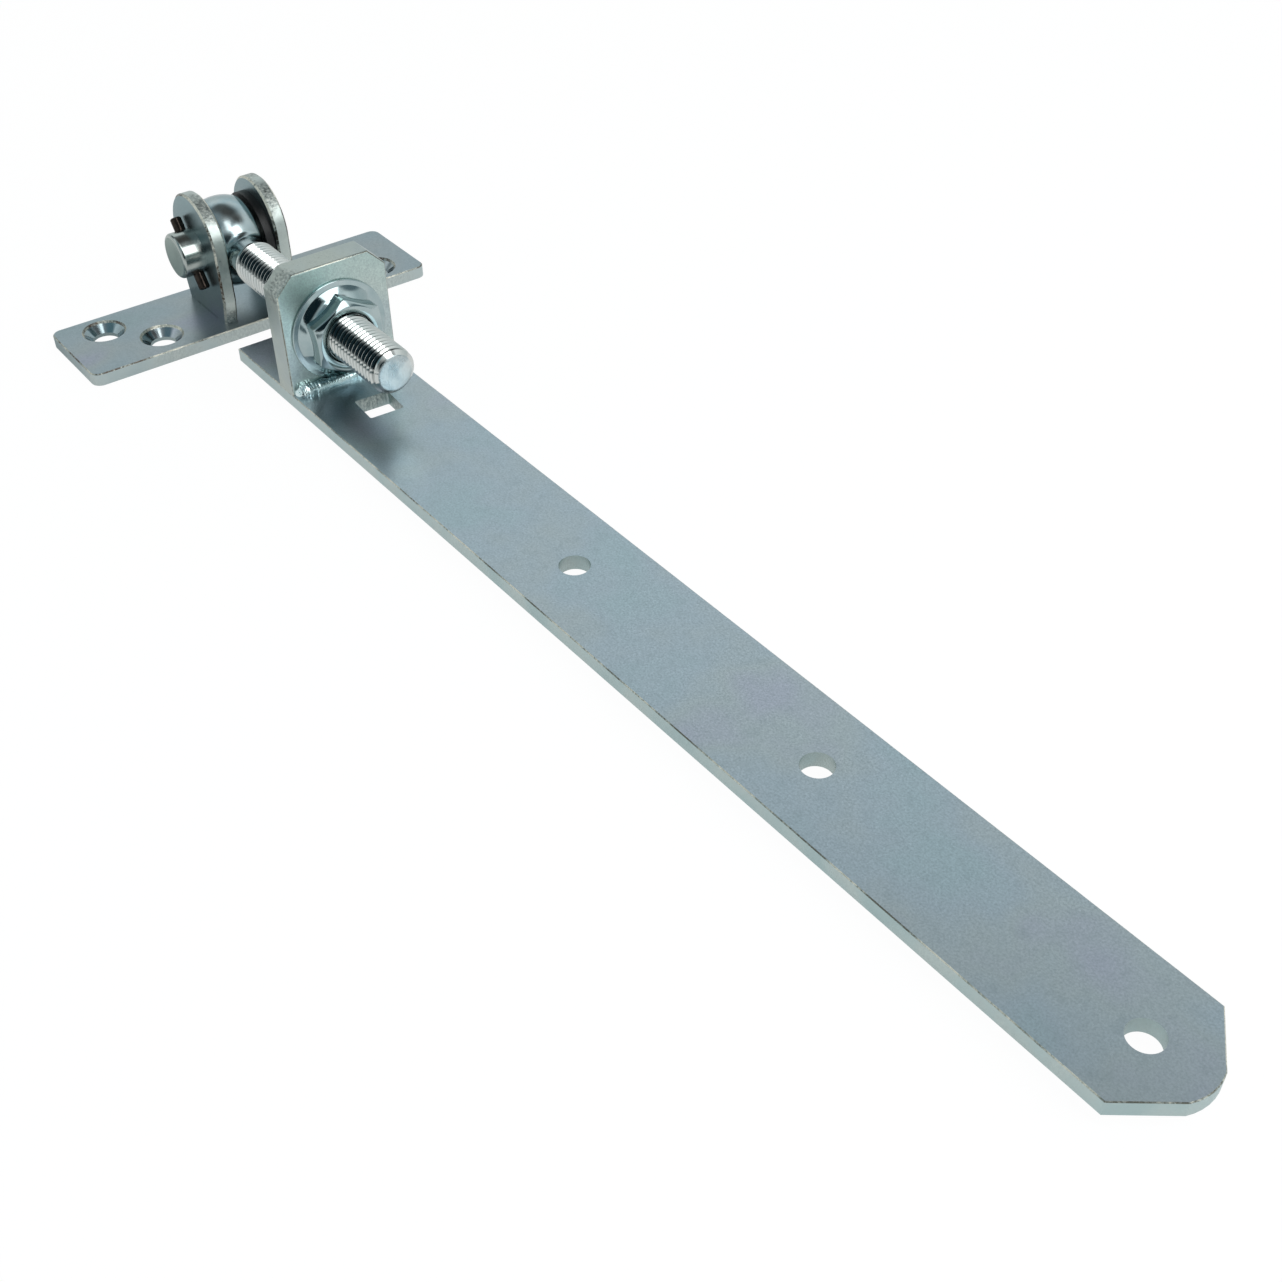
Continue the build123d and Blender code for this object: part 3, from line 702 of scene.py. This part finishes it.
def flange_nut(name, node, body, seat_x, outward, corner_turn):
    """A flange nut on the bolt, from its seat outwards; corner_turn is its first corner's angle."""
    builder = bmesh.new()
    bmesh.ops.create_circle(builder, segments=6, radius=CORNER_RADIUS, matrix=ACROSS_BOLT)
    first = builder.verts[:][0].co
    turn = Matrix.Rotation(math.radians(corner_turn) - math.atan2(first.z, first.y), 3, "X")
    bmesh.ops.rotate(builder, verts=builder.verts, cent=(0, 0, 0), matrix=turn)
    bmesh.ops.subdivide_edges(builder, edges=builder.edges[:], cuts=15)
    for vert in builder.verts:
        radius = vert.co.length
        vert.co *= min(radius, CORNER_RADIUS - CORNER_WEAR) / radius
    loop = builder.edges[:]

    def cone_x(radius):
        return NUT_HEIGHT - max(0, radius - FACE_RADIUS) * CORNER_SLOPE

    # Up the sides, over the cone to the flat top, and down through the bore
    for shape in (
        lambda r: (cone_x(r) - EDGE_ROUND, r),
        lambda r: (cone_x(r) - 0.22 * EDGE_ROUND, r - 0.22 * EDGE_ROUND),
        lambda r: (cone_x(r) + 0.30 * EDGE_ROUND, r - 0.9 * EDGE_ROUND),
        lambda r: (NUT_HEIGHT - 0.08 * MM, FACE_RADIUS + 0.15 * MM),
        lambda r: (NUT_HEIGHT, FACE_RADIUS - 0.15 * MM),
        lambda r: (NUT_HEIGHT, SINK_RADIUS + 0.10 * MM),
        lambda r: (NUT_HEIGHT - 0.10 * MM, SINK_RADIUS - 0.05 * MM),
        lambda r: (NUT_HEIGHT - 0.75 * MM, NUT_BORE),
        lambda r: (0, NUT_BORE),
    ):
        loop = draw_ring(builder, loop, shape)
    # The flange: its seat, its rounded rim, the rim band, and the slope with its fillet
    outline = [
        (0, NUT_BORE),
        (0, FLANGE_RADIUS - 0.2 * MM),
        (0.2 * MM, FLANGE_RADIUS),
        (RIM_HEIGHT - 0.25 * MM, FLANGE_RADIUS),
        (RIM_HEIGHT - 0.07 * MM, FLANGE_RADIUS - 0.08 * MM),
        (RIM_HEIGHT, FLANGE_RADIUS - 0.3 * MM),
        (BAND_IN[0] - 0.02 * MM, BAND_IN[1] + 0.2 * MM),
        (BAND_IN[0] + 0.1 * MM, BAND_IN[1] - 0.15 * MM),
    ]
    corners = (SLOPE_MIDDLE, FILLET_PULL, FILLET_TOP)
    for step in range(FILLET_STEPS + 1):
        t = step / FILLET_STEPS
        weights = ((1 - t) ** 2, 2 * t * (1 - t), t ** 2)
        outline.append(tuple(sum(w * p[i] for w, p in zip(weights, corners)) for i in (0, 1)))
    skirt = bmesh.new()
    polyline(skirt, [(x, 0, radius) for x, radius in outline])
    spin_once(skirt, (1, 0, 0), 120)
    skirt_mesh = bpy.data.meshes.new("skirt")
    skirt.to_mesh(skirt_mesh)
    skirt.free()
    builder.from_mesh(skirt_mesh)
    if outward < 0:
        half_turn = Matrix.Rotation(math.pi, 3, "Z")
        bmesh.ops.rotate(builder, verts=builder.verts, cent=(0, 0, 0), matrix=half_turn)
    bmesh.ops.translate(builder, verts=builder.verts, vec=(seat_x, bolt_y, pin_height))
    finish_piece(builder, name, [nut_zinc], body, node, sharp_degrees=50)


flange_nut(
    "front_flange_nut", "front_nut", "front_lock", front_nut_low.x, outward=1, corner_turn=32.5,
)
flange_nut(
    "rear_flange_nut", "rear_nut", "rear_lock", rear_nut_high.x, outward=-1, corner_turn=18.0,
)

# %% [markdown]
# ## The hinge pin
# The pin is turned from bar: a shank with a generously rounded end, and a flat head on
# the far side. One outline spun about the hinge axis makes it. The end was faced across
# and stays dull, while the rounding and the shank shine.

# %% Turn the pin
PIN_ROUND = 1.25 * MM
HEAD_THICKNESS = 2.5 * MM
SHANK_RADIUS = 8.0 * MM
HEAD_RADIUS = (pin_high.z - pin_low.z) / 2
HEAD_ROUND = 0.7 * MM
ROUND_STEPS = 6
outline = [(pin_low.y, 0), (pin_low.y, 0.5 * SHANK_RADIUS)]
for step in range(ROUND_STEPS + 1):
    turn = math.pi / 2 * step / ROUND_STEPS
    outline.append((
        pin_low.y + PIN_ROUND * (1 - math.cos(turn)), SHANK_RADIUS - PIN_ROUND * (1 - math.sin(turn)),
    ))
head_inner = pin_high.y - HEAD_THICKNESS
outline += [
    (head_inner, SHANK_RADIUS),
    (head_inner, HEAD_RADIUS),
    (pin_high.y - HEAD_ROUND, HEAD_RADIUS),
    (pin_high.y, HEAD_RADIUS - HEAD_ROUND),
    (pin_high.y, 0),
]
turned = bmesh.new()
polyline(turned, [(0, y, radius) for y, radius in outline])
spin_once(turned, (0, 1, 0), 96)
bmesh.ops.translate(turned, verts=turned.verts, vec=(0, 0, pin_height))
for face in turned.faces:
    face.material_index = int(face.calc_center_median().y < pin_low.y + 0.01 * MM)
finish_piece(turned, "turned_pin", [pin_zinc, faced_zinc], "pin", "hinge_pin")

# %% [markdown]
# ## Weld beads
# The lug stands on the strap and is welded in both corners. A bead is laid from one side
# to the other while the weld pool freezes in small overlapping scales, so it is a round
# bar half sunk in the corner, with ripples about a millimetre apart. It starts with a
# rough blob, where the arc was struck. A circle is carried across the strap in small
# steps, each step a little thicker or thinner, and solid noise roughens it. The nuts'
# flanges turn just above the beads, so a bead is pressed back to a small gap from the
# flange beside it.

# %% Lay the beads
BEAD_RADIUS = 3.1 * MM
BEAD_SINK = 0.35 * MM
BEAD_STEP = 0.2 * MM
# How the bead swells: its ripples, a slow drift, and the blob, each as a share of its radius
RIPPLE, RIPPLE_SWELL = 1.15 * MM, 0.022
DRIFT, DRIFT_SWELL = 6 * MM, 0.12
BLOB_PLACE, BLOB_REACH, BLOB_SWELL = 3.2 * MM, 2.6 * MM, 0.16
# How rough it is in millimetres, everywhere and near its start
ROUGH_GRAIN, ROUGH_START = 1.1 * MM, 5 * MM
ROUGH_MM, ROUGH_START_MM = 0.07, 0.55
# The flange beside it: a rim, then a slope, and the gap that the bead keeps
FLANGE_RIM = 1.05 * MM
FLANGE_SLOPE = math.tan(math.radians(30.5))
FLANGE_GAP = 0.35 * MM


def bead(name, node, foot_x, way, length, seed):
    """One weld bead across the strap, in the corner between the lug's face and the strap."""
    steps = int(length / BEAD_STEP)
    builder = bmesh.new()
    along_strap = Matrix.Rotation(math.pi / 2, 4, "X")
    bmesh.ops.create_circle(builder, segments=28, radius=1, matrix=along_strap)
    loop = builder.edges[:]
    middle = Vector((foot_x + way * BEAD_SINK, 0, strap_top + BEAD_SINK))
    radius = 1.0
    for step in range(steps + 1):
        along = (step / steps - 0.5) * length
        from_end = max(0.02 * MM, length / 2 - abs(along))
        taper = min(1, math.sqrt(1 - (1 - min(1, from_end / (1.4 * BEAD_RADIUS))) ** 2) + 0.02)
        blob = BLOB_SWELL * math.exp(-((along + length / 2 - BLOB_PLACE) / BLOB_REACH) ** 2)
        scales = RIPPLE_SWELL * abs(math.sin(math.pi * along / RIPPLE))
        drift = DRIFT_SWELL * solid_noise.noise(Vector((along / DRIFT, seed, 0)))
        target = BEAD_RADIUS * taper * (1 + blob + scales + drift)
        if step:
            made = bmesh.ops.extrude_edge_only(builder, edges=loop)["geom"]
            loop = [item for item in made if isinstance(item, bmesh.types.BMEdge)]
        ring_verts = verts_of(loop)
        here = Vector((0, ring_verts[0].co.y, 0))
        to_here = Matrix.Translation(-here)
        bmesh.ops.scale(builder, verts=ring_verts, vec=[target / radius] * 3, space=to_here)
        bmesh.ops.translate(builder, verts=ring_verts, vec=(0, along - here.y, 0))
        radius = target
    bmesh.ops.holes_fill(builder, edges=[e for e in builder.edges if e.is_boundary], sides=0)
    bmesh.ops.translate(builder, verts=builder.verts, vec=middle + Vector((0, bolt_y, 0)))
    for vert in builder.verts:
        place = vert.co / ROUGH_GRAIN
        outward = Vector((vert.co.x - middle.x, 0, vert.co.z - middle.z)).normalized()
        near_start = math.exp(-((vert.co.y - bolt_y + length / 2) / ROUGH_START) ** 2)
        rough = solid_noise.fractal(place + Vector((seed, 0, 0)), 0.7, 2.1, 3)
        vert.co += outward * rough * (ROUGH_MM + ROUGH_START_MM * near_start) * MM
        # Pressed back from the flange
        across = Vector((0, vert.co.y - bolt_y, vert.co.z - pin_height))
        ahead = way * (vert.co.x - foot_x)
        clear = FLANGE_RADIUS - max(0, ahead - FLANGE_RIM) / FLANGE_SLOPE + FLANGE_GAP
        if across.length < clear:
            across *= clear / across.length
            vert.co.z = pin_height + across.z
    finish_piece(builder, name, [weld_zinc], "leaf", node, sharp_degrees=60)


bead("front_bead", "front_weld", lug_high.x, way=1, length=38.6 * MM, seed=3.7)
bead("rear_bead", "rear_weld", lug_low.x, way=-1, length=36.6 * MM, seed=8.2)

# %% [markdown]
# ## Stage, light and camera
# The hinge lies in a pale tent. The floor and the room are white to the camera, and a
# little darker to the metal, as a tent of cloth is. Polished metal shows its whole
# surroundings, so these decide how the thread and the nuts look. One soft window stands
# behind the camera's right shoulder, and a narrow one hangs high above the camera. The
# camera itself sits in a dark gap in the cloth, and the tent has a dim bent opening at
# its top. The satin plates blur all this to slow gradients.

# %% Floor
def link_object(name, data):
    """Put a mesh, a lamp or a camera in the scene as a new object."""
    thing = bpy.data.objects.new(name, data)
    bpy.context.scene.collection.objects.link(thing)
    return thing


FLOOR_HALF = 4.0
CAMERA_WHITE = 0.97
METAL_GLOW = 0.95
# Painted shade on the floor, seen only by metal: centre, where the full tone ends, where the shade
# ends, tone
PAINTED_FLOOR_SHADES = (
    # in front of the camera
    (Vector((lug_high.x + 0.193, bolt_y - 0.135, 0)), 0.06, 0.10, "#6E7C80"),
    # beside the bracket's near foot
    (Vector((-0.035, -0.045, 0)), 0.02, 0.06, "#A3AFB2"),
)
floor_builder = bmesh.new()
bmesh.ops.create_grid(floor_builder, x_segments=1, y_segments=1, size=FLOOR_HALF)
floor_mesh = bpy.data.meshes.new("floor")
floor_builder.to_mesh(floor_mesh)
floor_builder.free()
floor = link_object("floor", floor_mesh)
floor.location.z = cad_low.z
floor_material, floor_tree, floor_out = new_material("white_floor")
floor_cloth = add(floor_tree, "ShaderNodeBsdfDiffuse", Color=linear("#F4F5F5"))
floor_rays = add(floor_tree, "ShaderNodeLightPath")
# To the camera the floor is white, with only a trace of the hinge's shadow
faint_cloth = add(floor_tree, "ShaderNodeBsdfDiffuse", Color=linear("#3C3D3D"))
floor_white = add(
    floor_tree, "ShaderNodeEmission", Color=linear("#FFFFFF"), Strength=CAMERA_WHITE,
)
floor_to_camera = add(floor_tree, "ShaderNodeAddShader", _0=faint_cloth, _1=floor_white)
# To metal it is nearly as white, keeps the shadow, and has its places of painted shade
floor_place = add(floor_tree, "ShaderNodeTexCoord").outputs["Object"]
floor_tone = linear("#FFFFFF")
for centre, inner, outer, tone in PAINTED_FLOOR_SHADES:
    away = add(
        floor_tree, "ShaderNodeVectorMath", {"operation": "DISTANCE"}, _0=floor_place, _1=centre,
    )
    lit = add(floor_tree, "ShaderNodeMapRange", _0=away.outputs["Value"], _1=inner, _2=outer)
    floor_tone = add(
        floor_tree, "ShaderNodeMix", {"data_type": "RGBA"}, _0=lit, _6=linear(tone), _7=floor_tone,
    )
glow = add(floor_tree, "ShaderNodeEmission", Color=floor_tone, Strength=METAL_GLOW)
shaded_cloth = add(floor_tree, "ShaderNodeBsdfDiffuse", Color=floor_tone)
floor_to_metal = add(floor_tree, "ShaderNodeMixShader", _0=0.5, _1=shaded_cloth, _2=glow)
not_camera = add(
    floor_tree, "ShaderNodeMixShader",
    _0=floor_rays.outputs["Is Glossy Ray"], _1=floor_cloth, _2=floor_to_metal,
)
floor_seen = add(
    floor_tree, "ShaderNodeMixShader",
    _0=floor_rays.outputs["Is Camera Ray"], _1=not_camera, _2=floor_to_camera,
)
floor_tree.links.new(floor_seen.outputs[0], floor_out.inputs["Surface"])
floor.data.materials.append(floor_material)


# %% Room
def heading(azimuth, elevation):
    """Unit vector towards a place in the room, in degrees from +X and above the floor."""
    a, e = math.radians(azimuth), math.radians(elevation)
    return Vector((math.cos(e) * math.cos(a), math.cos(e) * math.sin(a), math.sin(e)))


ROOM_STRENGTH = 1.15
# The tent's tones by the sine of the height above the floor
TENT_STOPS = [
    (0.0, "#C4CACB"), (0.35, "#C9D0D1"), (0.55, "#DCE3E5"), (0.66, "#E6ECEE"),
    (0.765, "#D0D7DA"), (0.83, "#98A0A3"), (1.0, "#8D9599"),
]
# Dark places: direction, where the full tone ends, where the place ends, both in degrees
DARK_PLACES = (
    # the camera in its gap
    (heading(-22, 16), 20, 36, "#15242A"),
    # a dim panel behind the camera's left shoulder
    (heading(-75, 48), 14, 28, "#6C868E"),
    # the opening overhead, bent, in three parts
    (heading(165, 65), 9, 20, "#5A5C5C"),
    (heading(110, 75), 10, 20, "#474645"),
    (heading(56, 60), 8, 17, "#474645"),
    # the doorway behind the wall plate
    (heading(203, 38), 8, 19, "#263A42"),
    # a grey stand on the camera's right
    (heading(42, 13), 9, 15, "#67777D"),
)
world = bpy.data.worlds.new("pale_room")
bpy.context.scene.world = world
world.use_nodes = True
room = world.node_tree
room.nodes.clear()
look = add(room, "ShaderNodeTexCoord").outputs["Generated"]
height = add(room, "ShaderNodeSeparateXYZ", Vector=look).outputs["Z"]
cloth = add(room, "ShaderNodeValToRGB", {"stops": TENT_STOPS}, Fac=height)
for towards, inner, outer, tone in DARK_PLACES:
    near = add(room, "ShaderNodeVectorMath", {"operation": "DOT_PRODUCT"}, _0=look, _1=towards)
    share = add(
        room, "ShaderNodeMapRange", _0=near.outputs["Value"],
        _1=math.cos(math.radians(outer)), _2=math.cos(math.radians(inner)),
    )
    cloth = add(room, "ShaderNodeMix", {"data_type": "RGBA"}, _0=share, _6=cloth, _7=linear(tone))
room_rays = add(room, "ShaderNodeLightPath")
room_cloth = add(room, "ShaderNodeBackground", Color=cloth, Strength=ROOM_STRENGTH)
room_white = add(room, "ShaderNodeBackground", Color=linear("#FFFFFF"), Strength=1.0)
room_seen = add(
    room, "ShaderNodeMixShader", _0=room_rays.outputs["Is Camera Ray"], _1=room_cloth, _2=room_white,
)
add(room, "ShaderNodeOutputWorld", Surface=room_seen.outputs[0])


# %% Windows
def window(name, towards, distance, width, height, brightness):
    """A soft rectangular lamp that faces the hinge head. brightness is what polished metal shows."""
    data = bpy.data.lights.new(name, "AREA")
    data.shape = "RECTANGLE"
    data.size = width
    data.size_y = height
    data.energy = brightness * math.pi * width * height
    lamp = link_object(name, data)
    head = Vector((lug_high.x, bolt_y, pin_height))
    lamp.location = head + towards * distance
    lamp.rotation_euler = (-towards).to_track_quat("-Z", "Y").to_euler()


window("window", heading(15, 38), distance=1.2, width=0.56, height=0.86, brightness=2.4)
window("high_window", heading(-8, 64), distance=1.2, width=0.26, height=0.56, brightness=2.2)

# %% [markdown]
# ## The camera
# The focal length, the picture's centre, the place and the turn were fitted together to
# corners, hole centres and the thread, so the render can be laid over the photograph.

# %% Camera
PHOTO_PX = 1282
FOCAL_PX = 1614.7
CENTRE_PX = (663.4, 685.7)
SENSOR_MM = 36
CAMERA_PLACE = (0.52186, -0.21407, 0.29665)
CAMERA_TURN = (48.249, -0.277, 51.835)
camera_data = bpy.data.cameras.new("camera")
camera_data.sensor_width = SENSOR_MM
camera_data.lens = FOCAL_PX / PHOTO_PX * SENSOR_MM
camera_data.shift_x = (PHOTO_PX / 2 - CENTRE_PX[0]) / PHOTO_PX
camera_data.shift_y = (CENTRE_PX[1] - PHOTO_PX / 2) / PHOTO_PX
camera_data.clip_start = 0.01
camera = link_object("camera", camera_data)
camera.location = CAMERA_PLACE
camera.rotation_euler = [math.radians(angle) for angle in CAMERA_TURN]
bpy.context.scene.camera = camera
bpy.context.scene.view_settings.view_transform = "Standard"
